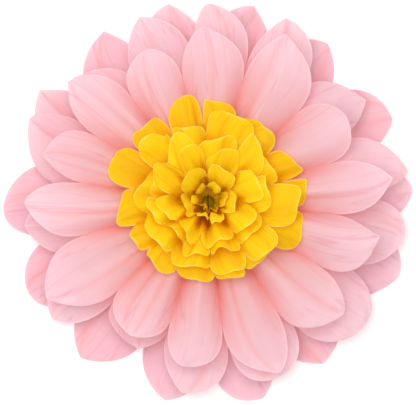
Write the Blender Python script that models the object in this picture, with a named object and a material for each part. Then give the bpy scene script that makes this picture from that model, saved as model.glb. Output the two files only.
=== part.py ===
"""A flower pom pom of tissue paper, in metres, +Z up, lying on its back on z = 0.

Nine sheets are folded together like an accordion, tied round the middle, cut to petals at both
ends and spread into a ring. Every sheet passes through the tie, so each one is a surface that
starts there and fans outwards. A point on a sheet is given by three values:
    distance    how far the paper has run from the tie
    azimuth     the direction seen from above, in degrees, 0 along +X
    elevation   the slope of the straight line from the tie to the point, in radians
The start of that line climbs a little with its slope, so that the gathered sheets lie on each
other at the tie. Two lines of different elevation then never cross, and a sheet that keeps its
elevation above the sheet below it can't cut through it.
"""

import math
import random
from dataclasses import dataclass
from functools import cache

import bmesh
import bpy
import numpy as np

MM = 0.001

# Tissue. The thickness is that of a stiffened stand-in, real tissue is about a tenth of it.
PAPER_THICKNESS = 0.45 * MM
CLEARANCE_AT_TIE = 0.35 * MM
CLEARANCE_OPEN = 2.7 * MM
OPEN_FROM = 20 * MM
DRAPE_SOFTNESS = 2.0 * MM

# Tie
TIE_HEIGHT = 9 * MM
TIE_CLIMB = 9 * MM
NECK_RADIUS = 5 * MM
SLIT_TAPER = 1 * MM
WIRE_DIAMETER = 0.7 * MM
WIRE_CLEARANCE = 0.3 * MM
TWIST_LENGTH = 13 * MM
TWIST_START = 2 * MM
TWIST_TURNS = 1.0
STRAND_CLEARANCE = 0.08 * MM
STEPS_PER_TURN = 6

# Folding. A pleat rises and falls about the slope of its sheet, from nothing at the tie to its
# full height at a share of the sheet's length. A petal's own shape begins a little before the
# petals part, and it blends into the next petal's near the valley between them.
SLIT_AZIMUTH = 90.0
SPREAD_OVER = 45 * MM
RUFFLE_LENGTH = 24 * MM
PLEAT_MEAN = 0.6
PLEAT_FULL_AT = 0.5
LIFT_FROM = 0.2
PETAL_FROM = 0.8
BLEND_FROM = 0.25
BLEND_TO = 0.75
CUP_RANGE = (-0.5, 1.0)
CREASE_RANGE = (0.2, 1.0)

# A pink petal's crease may be pressed in: share of the pleat's height (none where the draw is
# below 0) and share of the petal's half width that it takes.
DENT_RANGE = (-0.9, 0.9)
DENT_HALF_WIDTH = 0.5

# Sideways bend of a petal's tip, at most, as a share of the step from petal to petal
BEND = 0.2

# The innermost petals stand no steeper than this, so that they don't lean over the middle.
STEEPEST = math.radians(86)

# Cut of the petals' edges
TIP_ROUNDNESS = 2.4
PINK_POINTED = (0.42, 1.05)
YELLOW_POINTED = (0.25, 0.5)

# The yellow centre leans a little to one side.
LEAN = 5.5 * MM
LEAN_AZIMUTH = 80.0

# Disorder of the yellow petals: share of a petal's step, and shares of its length
AZIMUTH_DISORDER = 0.25
LENGTH_RANGE = (0.9, 1.04)

# Where a sheet's surface has its points: columns across a petal, from its left edge at -1 to its
# right edge at 1, rows as shares of the way from the neck to where the petals part, then rows
# along the free petal.
PINK_COLUMNS = (-1, -0.5, 0, 0.5, 1)
PINK_ROWS = (0.2, 0.55, 1.0)
YELLOW_COLUMNS = (-1, -0.4, 0.4, 1)
YELLOW_ROWS = (0.18, 0.42, 0.7, 1.0)
PINK_FREE_ROWS = 3
YELLOW_FREE_ROWS = 3
WELD_DISTANCE = 0.001 * MM

# Colours
PINK = (0.93, 0.56, 0.63)
YELLOW = (0.98, 0.72, 0.02)
TINNED_WIRE = (0.62, 0.6, 0.57)

# Petals of the pink sheets, each the azimuth of its tip in degrees and its length in mm.
PINK_TIPS_1 = (
    (101, 148), (126, 147), (151, 148), (180.5, 150.5), (204, 148), (232, 148), (259, 149),
    (283, 150), (306, 146), (341, 150), (362.6, 150), (389, 149), (413, 146), (440, 148),
)
PINK_TIPS_2 = (
    (107, 144), (135, 135), (160, 144), (188, 135), (213, 142), (240, 119), (265, 141),
    (291, 138), (319, 146), (352, 146), (372, 148), (398, 137), (424, 146), (445, 145),
)
PINK_TIPS_3 = (
    (115, 123), (137, 136), (162, 126), (181, 138), (209, 138), (240, 117), (265, 124),
    (288, 136), (316.5, 130), (344, 132), (365, 139), (390, 122), (420, 137), (448, 130),
)


@dataclass(frozen=True)
class Sheet:
    """One sheet of tissue. Heights are in metres, slopes and lift in degrees.

    slopes are the four controls of the sheet's slope from the tie to the tips. joined is how far
    out its petals part. ridge, sway, cup, curl and ruffle are heights of a pleat's crease, of its
    lean to one side, of a petal's raised edges, of its rolled tip and of its wavy rim.
    """

    name: str
    tips: tuple
    slopes: tuple
    joined: float
    ridge: float
    sway: float
    cup: float
    curl: float
    ruffle: float
    lift: float
    seed: int
    yellow: bool = False

    @property
    def petals(self):
        """How many petals the sheet has all round."""
        return len(self.tips)


def even_tips(petals, length, turn, seed):
    """Petals spread evenly with a little disorder: (azimuth in degrees, length in mm)."""
    dice = random.Random(seed)
    step = 360 / petals
    tips = []
    for i in range(petals):
        shift = dice.uniform(-AZIMUTH_DISORDER, AZIMUTH_DISORDER)
        azimuth = SLIT_AZIMUTH + turn + (i + 0.5 + shift) * step
        tips.append((azimuth, length * dice.uniform(*LENGTH_RANGE)))
    return tuple(tips)


def yellow_sheet(number, petals, length, turn, slopes, **heights):
    """A sheet of the centre, whose petals are spread evenly."""
    seed = 20 + number
    tips = even_tips(petals, length, turn, seed)
    return Sheet(f"yellow_sheet_{number}", tips, slopes, seed=seed, yellow=True, **heights)


SHEETS = (
    Sheet("pink_sheet_1", PINK_TIPS_1, (8, 12, -6, -3), joined=104 * MM, ridge=8 * MM,
          sway=2 * MM, cup=8 * MM, curl=4 * MM, ruffle=1 * MM, lift=1.0, seed=11),
    Sheet("pink_sheet_2", PINK_TIPS_2, (10, 24, 4, 3), joined=98 * MM, ridge=10 * MM,
          sway=3 * MM, cup=9 * MM, curl=4 * MM, ruffle=1 * MM, lift=1.5, seed=12),
    Sheet("pink_sheet_3", PINK_TIPS_3, (12, 36, 17, 12), joined=90 * MM, ridge=12 * MM,
          sway=4 * MM, cup=9 * MM, curl=3 * MM, ruffle=1 * MM, lift=3.0, seed=13),
    yellow_sheet(1, 14, 80, 3, (12, 38, 42, 24), joined=62 * MM, ridge=8 * MM,
                 sway=5 * MM, cup=6 * MM, curl=-5 * MM, ruffle=3 * MM, lift=4.0),
    yellow_sheet(2, 10, 77, -6, (15, 46, 50, 36), joined=58 * MM, ridge=9 * MM,
                 sway=6 * MM, cup=7 * MM, curl=-8 * MM, ruffle=3.5 * MM, lift=5.0),
    yellow_sheet(3, 10, 72, 8, (18, 55, 60, 45), joined=54 * MM, ridge=9 * MM,
                 sway=6 * MM, cup=8 * MM, curl=-9 * MM, ruffle=3.5 * MM, lift=5.0),
    yellow_sheet(4, 8, 66, -4, (20, 62, 69, 54), joined=48 * MM, ridge=9 * MM,
                 sway=5 * MM, cup=8 * MM, curl=-9 * MM, ruffle=3.5 * MM, lift=4.0),
    yellow_sheet(5, 6, 58, 5, (22, 67, 79, 68), joined=41 * MM, ridge=6 * MM,
                 sway=2 * MM, cup=6 * MM, curl=-6 * MM, ruffle=2 * MM, lift=4.0),
    yellow_sheet(6, 6, 50, 0, (24, 72, 81, 75), joined=32 * MM, ridge=4 * MM,
                 sway=3 * MM, cup=4 * MM, curl=-5 * MM, ruffle=2 * MM, lift=6.0),
)


def smoothstep(low, high, x):
    """0 below low, 1 above high, smooth between."""
    t = np.clip((x - low) / (high - low), 0, 1)
    return t * t * (3 - 2 * t)


def ease_curve(controls, u):
    """A smooth cubic through the first and last control, drawn towards the two between."""
    a, b, c, d = controls
    v = 1 - u
    return a * v**3 + 3 * b * v * v * u + 3 * c * v * u * u + d * u**3


def place(distance, azimuth, elevation):
    """The point at a distance, azimuth and elevation, measured from the tie."""
    across = distance * np.cos(elevation)
    height = TIE_HEIGHT + TIE_CLIMB * elevation + distance * np.sin(elevation)
    turn = np.radians(azimuth)
    return np.stack([across * np.cos(turn), across * np.sin(turn), height], axis=-1)


def angle_of(height, distance, elevation):
    """The change in elevation that moves a point by a height square to its line."""
    return height / (TIE_CLIMB * np.cos(elevation) + distance)


@cache
def petal_values(sheet):
    """Named arrays with a value for each petal, and the first petal again at the end."""
    dice = random.Random(sheet.seed)
    petals = []
    for i, (azimuth, length) in enumerate(sheet.tips):
        petal = {"root": SLIT_AZIMUTH + (i + 0.5) * 360 / sheet.petals, "tip": azimuth}
        petal["lift"] = math.radians(sheet.lift) * dice.uniform(-1, 1)
        petal["sway"] = sheet.sway * dice.uniform(-1, 1)
        petal["cup"] = sheet.cup * dice.uniform(*CUP_RANGE)
        petal["curl"] = sheet.curl * dice.uniform(0, 1)
        petal["crease"] = dice.uniform(*CREASE_RANGE)
        petal["phase"] = dice.uniform(0, 2 * math.pi)
        dent = max(0, dice.uniform(*DENT_RANGE))
        petal["dent"] = 0 if sheet.yellow else dent
        petal["bend"] = BEND * 360 / sheet.petals * dice.uniform(-1, 1)
        petal["length"] = length * MM
        if sheet.yellow:
            tip_slope = math.radians(sheet.slopes[-1])
            towards = math.cos(math.radians(azimuth - LEAN_AZIMUTH))
            petal["length"] += LEAN * math.cos(tip_slope) * towards
        petals.append(petal)
    again = dict(petals[0], root=petals[0]["root"] + 360, tip=petals[0]["tip"] + 360)
    petals.append(again)
    return {name: np.array([petal[name] for petal in petals]) for name in again}


def axes_at(sheet, distance):
    """The azimuth of every petal's middle at each distance, the first petal again at the end."""
    values = petal_values(sheet)
    spread = smoothstep(0, SPREAD_OVER, distance)[..., None]
    return values["root"] + (values["tip"] - values["root"]) * spread


def own_elevation(sheet, distance, azimuth):
    """The slope that a sheet would take with nothing below it."""
    values = petal_values(sheet)
    axes = axes_at(sheet, distance)
    azimuth = axes[:, 0] + np.mod(azimuth - axes[:, 0], 360)
    left = np.clip((axes <= azimuth[:, None]).sum(axis=1) - 1, 0, sheet.petals - 1)
    rows = np.arange(len(distance))
    part = (azimuth - axes[rows, left]) / (axes[rows, left + 1] - axes[rows, left])
    side = np.where(part < 0.5, 2 * part, 2 * part - 2)
    share = smoothstep(BLEND_FROM, BLEND_TO, part)

    def here(name):
        """A petal value, blended between the two petals beside the point."""
        return values[name][left] * (1 - share) + values[name][left + 1] * share

    length = values["length"].max()
    run = np.clip(distance / length, 0, 1)
    slope = np.radians(ease_curve(sheet.slopes, run))
    if sheet.yellow:
        towards = np.cos(np.radians(azimuth - LEAN_AZIMUTH))
        slope = slope - angle_of(LEAN * run * np.sin(slope) * towards, distance, slope)
    opened = smoothstep(0, PLEAT_FULL_AT, run)
    free = smoothstep(PETAL_FROM * sheet.joined, length, distance)
    round_pleat = np.cos(side * math.pi / 2)
    sharp_pleat = 1 - np.abs(side)
    pleat = round_pleat + (sharp_pleat - round_pleat) * here("crease")
    pleat = pleat - here("dent") * np.maximum(0, 1 - np.abs(side) / DENT_HALF_WIDTH)
    wave = np.sin(2 * math.pi * distance / RUFFLE_LENGTH + here("phase"))
    height = sheet.ridge * opened * (pleat - PLEAT_MEAN)
    height = height + here("sway") * np.sin(side * math.pi) * opened
    height = height + here("cup") * np.abs(side) * free + here("curl") * free**2
    height = height + sheet.ruffle * np.abs(side) * wave * free
    lift = here("lift") * smoothstep(LIFT_FROM, 1, run)
    return np.minimum(slope + lift + angle_of(height, distance, slope), STEEPEST)


def rest_on(own, support, gap, distance):
    """The higher of a sheet's own slope and what lies below it, with a soft change over."""
    least = support + angle_of(gap, distance, support)
    soft = angle_of(DRAPE_SOFTNESS * smoothstep(0, OPEN_FROM, distance), distance, support)
    return (own + least + np.sqrt((own - least) ** 2 + soft**2)) / 2


def elevation(index, distance, azimuth):
    """The slope of sheet number index, lying on the sheets below it and on the ground."""
    own = own_elevation(SHEETS[index], distance, azimuth)
    if index == 0:
        drop = PAPER_THICKNESS / 2 - TIE_HEIGHT
        return rest_on(own, drop / (TIE_CLIMB + distance), 0, distance)
    below = elevation(index - 1, distance, azimuth)
    opened = smoothstep(0, OPEN_FROM, distance)
    clearance = CLEARANCE_AT_TIE + (CLEARANCE_OPEN - CLEARANCE_AT_TIE) * opened
    return rest_on(own, below, PAPER_THICKNESS + clearance, distance)


def slope_at_tie(index):
    """The slope with which a sheet leaves the tie."""
    return elevation(index, np.zeros(1), np.zeros(1))[0]


def row_distances(sheet, tie_slope, length, joined_rows, free_rows):
    """Distances of a petal's points from the tie: in the gathers, joined to the next, then free."""
    neck = NECK_RADIUS / math.cos(tie_slope)
    slit_start = (NECK_RADIUS - SLIT_TAPER) / math.cos(tie_slope)
    joined = [neck + (sheet.joined - neck) * share for share in joined_rows]
    quarter = np.linspace(0, math.pi / 2, free_rows + 1)[1:]
    free = sheet.joined + (length - sheet.joined) * np.sin(quarter)
    return np.concatenate([[0, slit_start, neck], joined, free])


def free_share(sheet, petal, distance):
    """How far a petal has run along its free part, from 0 to 1."""
    length = petal_values(sheet)["length"][petal]
    return np.clip((distance - sheet.joined) / (length - sheet.joined), 0, 1)


def petal_middle(sheet, petal, distance):
    """The azimuth of a petal's middle line, which bends to one side towards the tip."""
    bend = petal_values(sheet)["bend"][petal] * free_share(sheet, petal, distance) ** 2
    return axes_at(sheet, distance)[:, petal] + bend


def petal_edge(sheet, petal, way, distance, pointed):
    """The azimuth of a petal's left (way -1) or right (way 1) edge at each distance."""
    axes = axes_at(sheet, distance)
    limit = (axes[:, petal] + axes[:, petal + way]) / 2
    if petal + way < 0:
        limit = (axes[:, 0] + axes[:, sheet.petals - 1] - 360) / 2
    narrowed = (1 - free_share(sheet, petal, distance) ** TIP_ROUNDNESS) ** pointed
    middle = petal_middle(sheet, petal, distance)
    return middle + (limit - middle) * narrowed


def slit_width(distance, tie_slope):
    """How far, in degrees, a half fan's edge keeps from the slit plane, to clear the wire."""
    across = np.maximum(distance * math.cos(tie_slope), MM)
    opened = smoothstep(NECK_RADIUS - SLIT_TAPER, NECK_RADIUS, across)
    return np.degrees((WIRE_DIAMETER / 2 + WIRE_CLEARANCE) / across) * opened


def sheet_mesh(index, columns, joined_rows, free_rows):
    """The middle surface of a sheet: gathered at the tie, then joined pleats, then free petals."""
    sheet = SHEETS[index]
    dice = random.Random(f"{sheet.name} edges")
    tie_slope = slope_at_tie(index)
    half = sheet.petals // 2
    mesh = bmesh.new()
    for petal in range(sheet.petals):
        length = petal_values(sheet)["length"][petal]
        distance = row_distances(sheet, tie_slope, length, joined_rows, free_rows)
        middle = petal_middle(sheet, petal, distance)
        pointed = YELLOW_POINTED if sheet.yellow else PINK_POINTED
        edges = {way: petal_edge(sheet, petal, way, distance, dice.uniform(*pointed))
                 for way in (-1, 1)}
        if petal in (0, half):
            edges[-1] = edges[-1] + slit_width(distance, tie_slope)
        if petal in (half - 1, sheet.petals - 1):
            edges[1] = edges[1] - slit_width(distance, tie_slope)
        grid = []
        for column in columns:
            edge = edges[1] if column > 0 else edges[-1]
            azimuth = middle + (edge - middle) * abs(column)
            points = place(distance, azimuth, elevation(index, distance, azimuth))
            grid.append([mesh.verts.new(point) for point in points])
        for left, right in zip(grid, grid[1:]):
            for row in range(len(distance) - 1):
                mesh.faces.new((left[row], left[row + 1], right[row + 1], right[row]))
    bmesh.ops.remove_doubles(mesh, verts=mesh.verts, dist=WELD_DISTANCE)
    made = bpy.data.meshes.new(sheet.name)
    mesh.to_mesh(made)
    mesh.free()
    made.shade_smooth()
    return made


def material(name, colour, roughness, metallic):
    """A plain Principled material."""
    made = bpy.data.materials.new(name)
    made.use_nodes = True
    shader = made.node_tree.nodes["Principled BSDF"]
    shader.inputs["Base Color"].default_value = (*colour, 1)
    shader.inputs["Roughness"].default_value = roughness
    shader.inputs["Metallic"].default_value = metallic
    return made


def add_object(name, data, finish):
    """A new object in the scene with one material."""
    made = bpy.data.objects.new(name, data)
    bpy.context.scene.collection.objects.link(made)
    data.materials.append(finish)
    return made


def build_sheet(index):
    """One sheet, thickened to both sides of its middle surface."""
    sheet = SHEETS[index]
    if sheet.yellow:
        mesh = sheet_mesh(index, YELLOW_COLUMNS, YELLOW_ROWS, YELLOW_FREE_ROWS)
        finish = material(sheet.name + "_tissue", YELLOW, 0.8, 0)
    else:
        mesh = sheet_mesh(index, PINK_COLUMNS, PINK_ROWS, PINK_FREE_ROWS)
        finish = material(sheet.name + "_tissue", PINK, 0.8, 0)
    made = add_object(sheet.name, mesh, finish)
    thick = made.modifiers.new("Paper thickness", "SOLIDIFY")
    thick.thickness = PAPER_THICKNESS
    thick.offset = 0
    return made


def wire_along(index, above):
    """A wire's points (across, height) along a sheet's neck, above it (1) or below it (-1)."""
    across = np.array([0, NECK_RADIUS - SLIT_TAPER, NECK_RADIUS])
    distance = across / math.cos(slope_at_tie(index))
    slopes = elevation(index, distance, np.full(len(across), SLIT_AZIMUTH))
    across, height = place(distance, SLIT_AZIMUTH, slopes).T[1:]
    steepest = np.abs(np.diff(height) / np.diff(across)).max()
    away = PAPER_THICKNESS / 2 + WIRE_CLEARANCE + WIRE_DIAMETER / 2
    return list(zip(across, height + above * away * math.hypot(1, steepest)))


def wire_half():
    """Half of the wire's loop as (across, height): out below the sheets, up, and back above."""
    below = wire_along(0, -1)
    above = wire_along(len(SHEETS) - 1, 1)
    side = NECK_RADIUS + WIRE_CLEARANCE + WIRE_DIAMETER / 2
    corners = [(side, below[-1][1] + WIRE_DIAMETER), (side, above[-1][1] - WIRE_DIAMETER)]
    return below + corners + above[::-1]


def build_wire():
    """The tie: a loop round the waist, its two ends twisted together below it."""
    half = wire_half()
    strand = WIRE_DIAMETER / 2 + STRAND_CLEARANCE
    twist_height = half[0][1] - strand
    steps = int(STEPS_PER_TURN * TWIST_TURNS)
    twist = []
    for step in range(steps + 1):
        turn = 2 * math.pi * TWIST_TURNS * step / steps
        along = TWIST_START + TWIST_LENGTH * step / steps
        twist.append((along, strand * math.cos(turn), strand * math.sin(turn)))
    points = [(x, y, twist_height + z) for x, y, z in reversed(twist)]
    points += [(0, y, z) for y, z in half[1:]]
    points += [(0, -y, z) for y, z in reversed(half[1:-1])]
    points += [(x, -y, twist_height - z) for x, y, z in twist]
    curve = bpy.data.curves.new("binding_wire", "CURVE")
    curve.dimensions = "3D"
    curve.bevel_depth = WIRE_DIAMETER / 2
    curve.bevel_resolution = 1
    curve.use_fill_caps = True
    line = curve.splines.new("POLY")
    line.points.add(len(points) - 1)
    for knot, point in zip(line.points, points):
        knot.co = (*point, 1)
    return add_object("binding_wire", curve, material("tinned_wire", TINNED_WIRE, 0.35, 1))


def stand_on_ground(pieces):
    """Moves all pieces down, or up, so that the lowest paper touches z = 0."""
    lowest = min(v.co.z for v in pieces[0].data.vertices) - PAPER_THICKNESS / 2
    for piece in pieces:
        piece.location.z = -lowest


def main():
    """Builds the whole flower."""
    for old in list(bpy.data.objects):
        bpy.data.objects.remove(old, do_unlink=True)
    pieces = [build_sheet(index) for index in range(len(SHEETS))]
    pieces.append(build_wire())
    stand_on_ground(pieces)


main()
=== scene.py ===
"""The looks of a flower pom pom of tissue paper, in metres, +Z up.

Nine sheets of tissue fan out from one tie. Each is drawn again here as one fine surface in the
form of its solid, by the same formulas and the same seeded disorder, and replaces that solid.
Only what paper has on top of its form is new: crumples, creases, gathers and rolled rims.
"""

import logging
import math
import random
from dataclasses import dataclass, replace
from enum import Enum
from functools import cached_property

import bmesh
import bpy
import numpy as np
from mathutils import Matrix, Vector


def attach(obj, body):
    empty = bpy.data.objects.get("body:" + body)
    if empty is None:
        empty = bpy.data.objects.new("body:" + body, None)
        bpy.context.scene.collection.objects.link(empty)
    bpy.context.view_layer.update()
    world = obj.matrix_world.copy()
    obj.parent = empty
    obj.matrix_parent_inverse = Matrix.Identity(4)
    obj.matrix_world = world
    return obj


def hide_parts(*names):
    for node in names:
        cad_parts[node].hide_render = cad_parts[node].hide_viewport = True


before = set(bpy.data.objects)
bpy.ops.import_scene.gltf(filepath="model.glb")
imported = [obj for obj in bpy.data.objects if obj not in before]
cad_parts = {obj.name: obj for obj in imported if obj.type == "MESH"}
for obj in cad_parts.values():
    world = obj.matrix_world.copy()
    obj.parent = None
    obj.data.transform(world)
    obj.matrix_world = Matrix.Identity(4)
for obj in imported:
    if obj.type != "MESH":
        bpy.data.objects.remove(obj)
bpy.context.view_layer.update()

LOG = logging.getLogger("paper flower")

Numbers = np.ndarray | float
Range = tuple[float, float]
Slopes = tuple[float, float, float, float]
Tips = tuple[tuple[float, float], ...]

MM = 0.001

# What the sheets' meshes tell their finish at each point, apart from where it is on the paper:
# depth is each petal's own tone and painted shade, rim a painted highlight, tip painted light
SHARES = ("depth", "rim", "tip")

# Seeds: a sheet's is its number and one of these, and a petal's is its sheet's times the last
PINK_SEED = 10
YELLOW_SEED = 20
PETAL_SEEDS = 100

# Points this close are one point, and shares are rounded so that a petal's tip is one point too
WELD_DISTANCE = 0.0005 * MM
SHARE_DIGITS = 12

# Image that the camera frames, and the flower's place in it
IMAGE_WIDTH = 416
IMAGE_HEIGHT = 405
FLOWER_WIDTH_PX = 412
FLOWER_WIDTH = 300 * MM
FLOWER_CENTRE_PX = (208.0, 202.0)

# Tissue, as in the solids, and how high the paper stays above the floor
PAPER_THICKNESS = 0.45 * MM
LEAST_HEIGHT = 0.15 * MM
CLEARANCE_AT_TIE = 0.35 * MM
CLEARANCE_OPEN = 2.7 * MM
OPEN_FROM = 20 * MM
DRAPE_SOFTNESS = 2.0 * MM

# Tie
TIE_HEIGHT = 9 * MM
TIE_CLIMB = 9 * MM
NECK_RADIUS = 5 * MM
SLIT_TAPER = 1 * MM
WIRE_DIAMETER = 0.7 * MM
WIRE_CLEARANCE = 0.3 * MM
TWIST_LENGTH = 13 * MM
TWIST_START = 2 * MM
TWIST_TURNS = 1.0
STRAND_CLEARANCE = 0.08 * MM
HUB_RADIUS = 0.1 * MM

# Folding: azimuths in degrees, plain numbers as shares of a sheet's own sizes, a power for the tip
SLIT_AZIMUTH = 90.0
SPREAD_OVER = 45 * MM
RUFFLE_LENGTH = 24 * MM
PLEAT_MEAN = 0.6
PLEAT_FULL_AT = 0.5
LIFT_FROM = 0.2
PETAL_FROM = 0.8
BLEND_FROM = 0.25
BLEND_TO = 0.75
CUP_RANGE = (-0.5, 1.0)
CREASE_RANGE = (0.2, 1.0)
DENT_RANGE = (-0.9, 0.9)
DENT_HALF_WIDTH = 0.5
BEND = 0.2
STEEPEST = math.radians(86)
TIP_ROUNDNESS = 2.4
LEAN = 5.5 * MM
LEAN_AZIMUTH = 80.0
AZIMUTH_DISORDER = 0.25
LENGTH_RANGE = (0.9, 1.04)

# How deep the colour is: each petal's own tone, which differs at random, and painted shade
# towards the tie, between petals and in creases; near the tie the pink's is also painted warm
# light bounced from the yellow
TONE_SHARE = 0.08
TIE_SHADE = 0.2
VALLEY_SHADE = 0.75
VALLEY_SHADE_SHARPNESS = 2.4
CREASE_SHADE = 0.25
CREASE_SHADE_AT_TIE = 0.3

# How pale the petals are by themselves, which differs at random, and how much paler painted
# light makes their tips, from this share of their length on
PALE_SHARE = 0.4
PAINTED_TIP_LIGHT = 0.9
TIP_FROM = 0.6

# Where one petal's patch of the paper pattern lies from the next one's, across and in depth
PATCH_ACROSS = 0.37
PATCH_DEEP = 0.11

# Azimuth in degrees and length in mm of each pink petal, anticlockwise from the slit
PINK_TIPS_1 = (
    (101, 148), (126, 147), (151, 148), (180.5, 150.5), (204, 148), (232, 148), (259, 149),
    (283, 150), (306, 146), (341, 150), (362.6, 150), (389, 149), (413, 146), (440, 148),
)
PINK_TIPS_2 = (
    (107, 144), (135, 135), (160, 144), (188, 135), (213, 142), (240, 119), (265, 141),
    (291, 138), (319, 146), (352, 146), (372, 148), (398, 137), (424, 146), (445, 145),
)
PINK_TIPS_3 = (
    (115, 123), (137, 136), (162, 126), (181, 138), (209, 138), (240, 117), (265, 124),
    (288, 136), (316.5, 130), (344, 132), (365, 139), (390, 122), (420, 137), (448, 130),
)


def linear(colour: str) -> tuple[float, float, float]:
    """Turns an sRGB hex colour to linear light.

    Args:
        colour: Six hex digits after a hash sign.

    Returns:
        Red, green and blue in linear light.
    """
    channels = [int(colour[i : i + 2], 16) / 255 for i in (1, 3, 5)]
    return tuple(c / 12.92 if c <= 0.04045 else ((c + 0.055) / 1.055) ** 2.4 for c in channels)


def add_node(tree: bpy.types.NodeTree, kind: str, inputs: dict | None = None,
             **properties: object) -> bpy.types.Node:
    """Adds a node with its settings and links.

    Args:
        tree: The node tree it goes into.
        kind: The node's type after ShaderNode.
        inputs: For each input, by name or number, a value or the output socket that feeds it.
        **properties: The node's own settings.

    Returns:
        The new node.
    """
    node = tree.nodes.new("ShaderNode" + kind)
    for name, value in properties.items():
        setattr(node, name, value)
    for name, value in (inputs or {}).items():
        if isinstance(value, bpy.types.NodeSocket):
            tree.links.new(value, node.inputs[name])
        else:
            node.inputs[name].default_value = value
    return node


def blank_material(name: str) -> bpy.types.Material:
    """Makes a material without any nodes.

    Args:
        name: What the material is called.

    Returns:
        The material.
    """
    made = bpy.data.materials.new(name)
    made.use_nodes = True
    made.node_tree.nodes.clear()
    return made


def shown_directly(tree: bpy.types.NodeTree) -> bpy.types.NodeSocket:
    """Tells the rays that show a backdrop, straight or mirrored, from those that light the paper.

    Is Transmission Ray is left out, because it also holds for the light that shines through
    tissue, which the backdrop must not add to. Nothing here is of glass.

    Args:
        tree: The node tree of the backdrop's material or of the world.

    Returns:
        An output that is 1 for camera and glossy rays and 0 for all others.
    """
    path = add_node(tree, "LightPath")
    rays = {0: path.outputs["Is Camera Ray"], 1: path.outputs["Is Glossy Ray"]}
    return add_node(tree, "Math", rays, operation="MAXIMUM").outputs[0]


def add_object(name: str, data: bpy.types.ID) -> bpy.types.Object:
    """Puts an object into the scene.

    Args:
        name: What it is called.
        data: Its mesh, curve, lamp or camera.

    Returns:
        The object.
    """
    made = bpy.data.objects.new(name, data)
    bpy.context.scene.collection.objects.link(made)
    return made


def smoothstep(low: float, high: float, x: Numbers) -> Numbers:
    """0 below low, 1 above high, smooth between."""
    t = np.clip((x - low) / (high - low), 0, 1)
    return t * t * (3 - 2 * t)


def ease_curve(controls: tuple[float, ...], u: np.ndarray) -> np.ndarray:
    """A smooth cubic through the first and last control, drawn towards the two between.

    Args:
        controls: Its four controls.
        u: Where along it to read, from 0 to 1.

    Returns:
        Its values.
    """
    a, b, c, d = controls
    v = 1 - u
    return a * v**3 + 3 * b * v * v * u + 3 * c * v * u * u + d * u**3


def place(distance: Numbers, azimuth: Numbers, elevation: Numbers) -> np.ndarray:
    """The point at a distance, azimuth and elevation, measured from the tie.

    Args:
        distance: How far the paper has run from the tie.
        azimuth: The direction seen from above, in degrees.
        elevation: The slope of the straight line from the tie to the point, in radians.

    Returns:
        The points, with x, y and z along the last axis.
    """
    across = distance * np.cos(elevation)
    height = TIE_HEIGHT + TIE_CLIMB * elevation + distance * np.sin(elevation)
    turn = np.radians(azimuth)
    return np.stack([across * np.cos(turn), across * np.sin(turn), height], axis=-1)


def angle_of(height: Numbers, distance: Numbers, elevation: Numbers) -> Numbers:
    """The change in elevation that moves a point by a height square to its line."""
    return height / (TIE_CLIMB * np.cos(elevation) + distance)


class Tint(Enum):
    """The two papers of the flower, by the record's slot for their finish."""

    PINK = "pink_tissue"
    YELLOW = "yellow_tissue"


@dataclass(frozen=True)
class PaperPattern:
    """A noise laid on the flat sheet: its real size across, its pull along, and its detail.

    Where it colours the paper, what is read from it goes through span while the share of its
    colour goes through covers.
    """

    size_mm: float
    along: float
    detail: float
    span: Range = (0.0, 1.0)
    covers: Range = (0.0, 0.0)

    def value(self, tree: bpy.types.NodeTree, paper: bpy.types.NodeSocket) -> bpy.types.NodeSocket:
        """Adds the noise.

        Args:
            tree: The material's node tree.
            paper: The output with the flat coordinates in metres, across and along.

        Returns:
            The noise's value, about 0.5 in the mean.
        """
        drawn = add_node(tree, "VectorMath", {0: paper, 1: (1, self.along, 1)},
                         operation="MULTIPLY").outputs[0]
        noise = {"Vector": drawn, "Scale": 1 / (self.size_mm * MM), "Detail": self.detail}
        return add_node(tree, "TexNoise", noise).outputs[0]

    def cover(self, tree: bpy.types.NodeTree, read: bpy.types.NodeSocket) -> bpy.types.NodeSocket:
        """The share of the pattern's colour, for what is read from its noise."""
        ends = {1: self.span[0], 2: self.span[1], 3: self.covers[0], 4: self.covers[1]}
        return add_node(tree, "MapRange", {0: read} | ends).outputs[0]


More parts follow.
